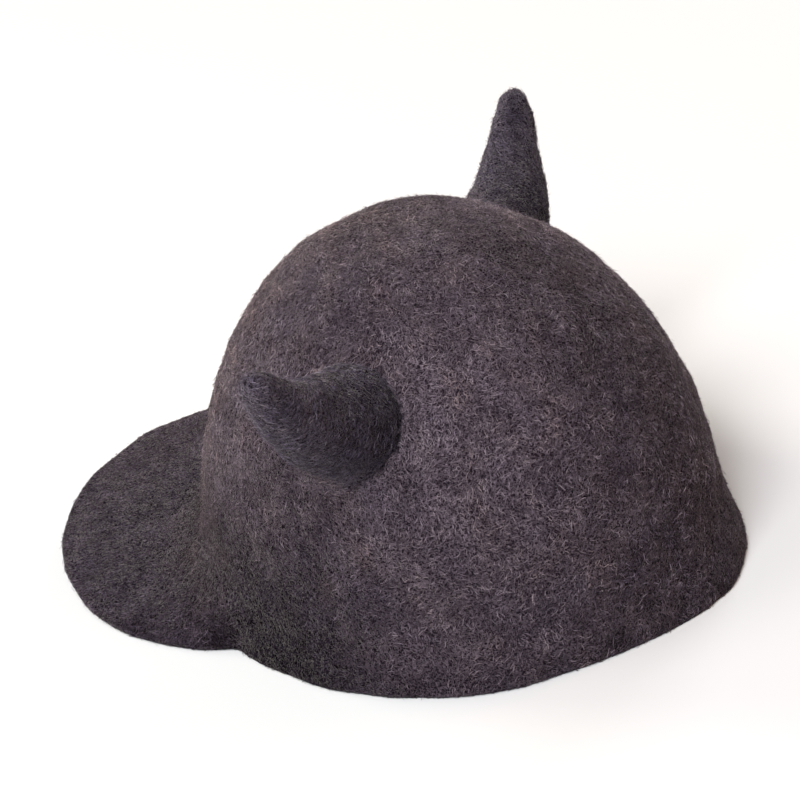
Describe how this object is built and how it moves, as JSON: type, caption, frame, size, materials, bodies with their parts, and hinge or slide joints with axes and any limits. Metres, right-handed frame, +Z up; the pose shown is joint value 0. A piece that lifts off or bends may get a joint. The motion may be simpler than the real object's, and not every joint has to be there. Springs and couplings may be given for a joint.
{
  "type": "felt hat with a peak and horns",
  "caption": "Deep round cap of thick felted wool with a short peak in front and small felt horns on its upper sides.",
  "frame": {"origin": "middle of the bounding box on the surface that the rim rests on", "axes": "+Z up through the crown, -Y towards the front edge of the peak, +X towards the wearer's left"},
  "size_m": [0.2391, 0.2806, 0.1406],
  "materials": {
    "wool_felt": "matt purple-brown grey wet-felted wool with a short fuzzy nap",
    "horn_felt": "matt darker and bluer grey wool, felted round the horn"
  },
  "bodies": {
    "root": {"crown_and_peak": "wool_felt", "horn_left": "horn_felt", "horn_right": "horn_felt"}
  },
  "joints": []
}
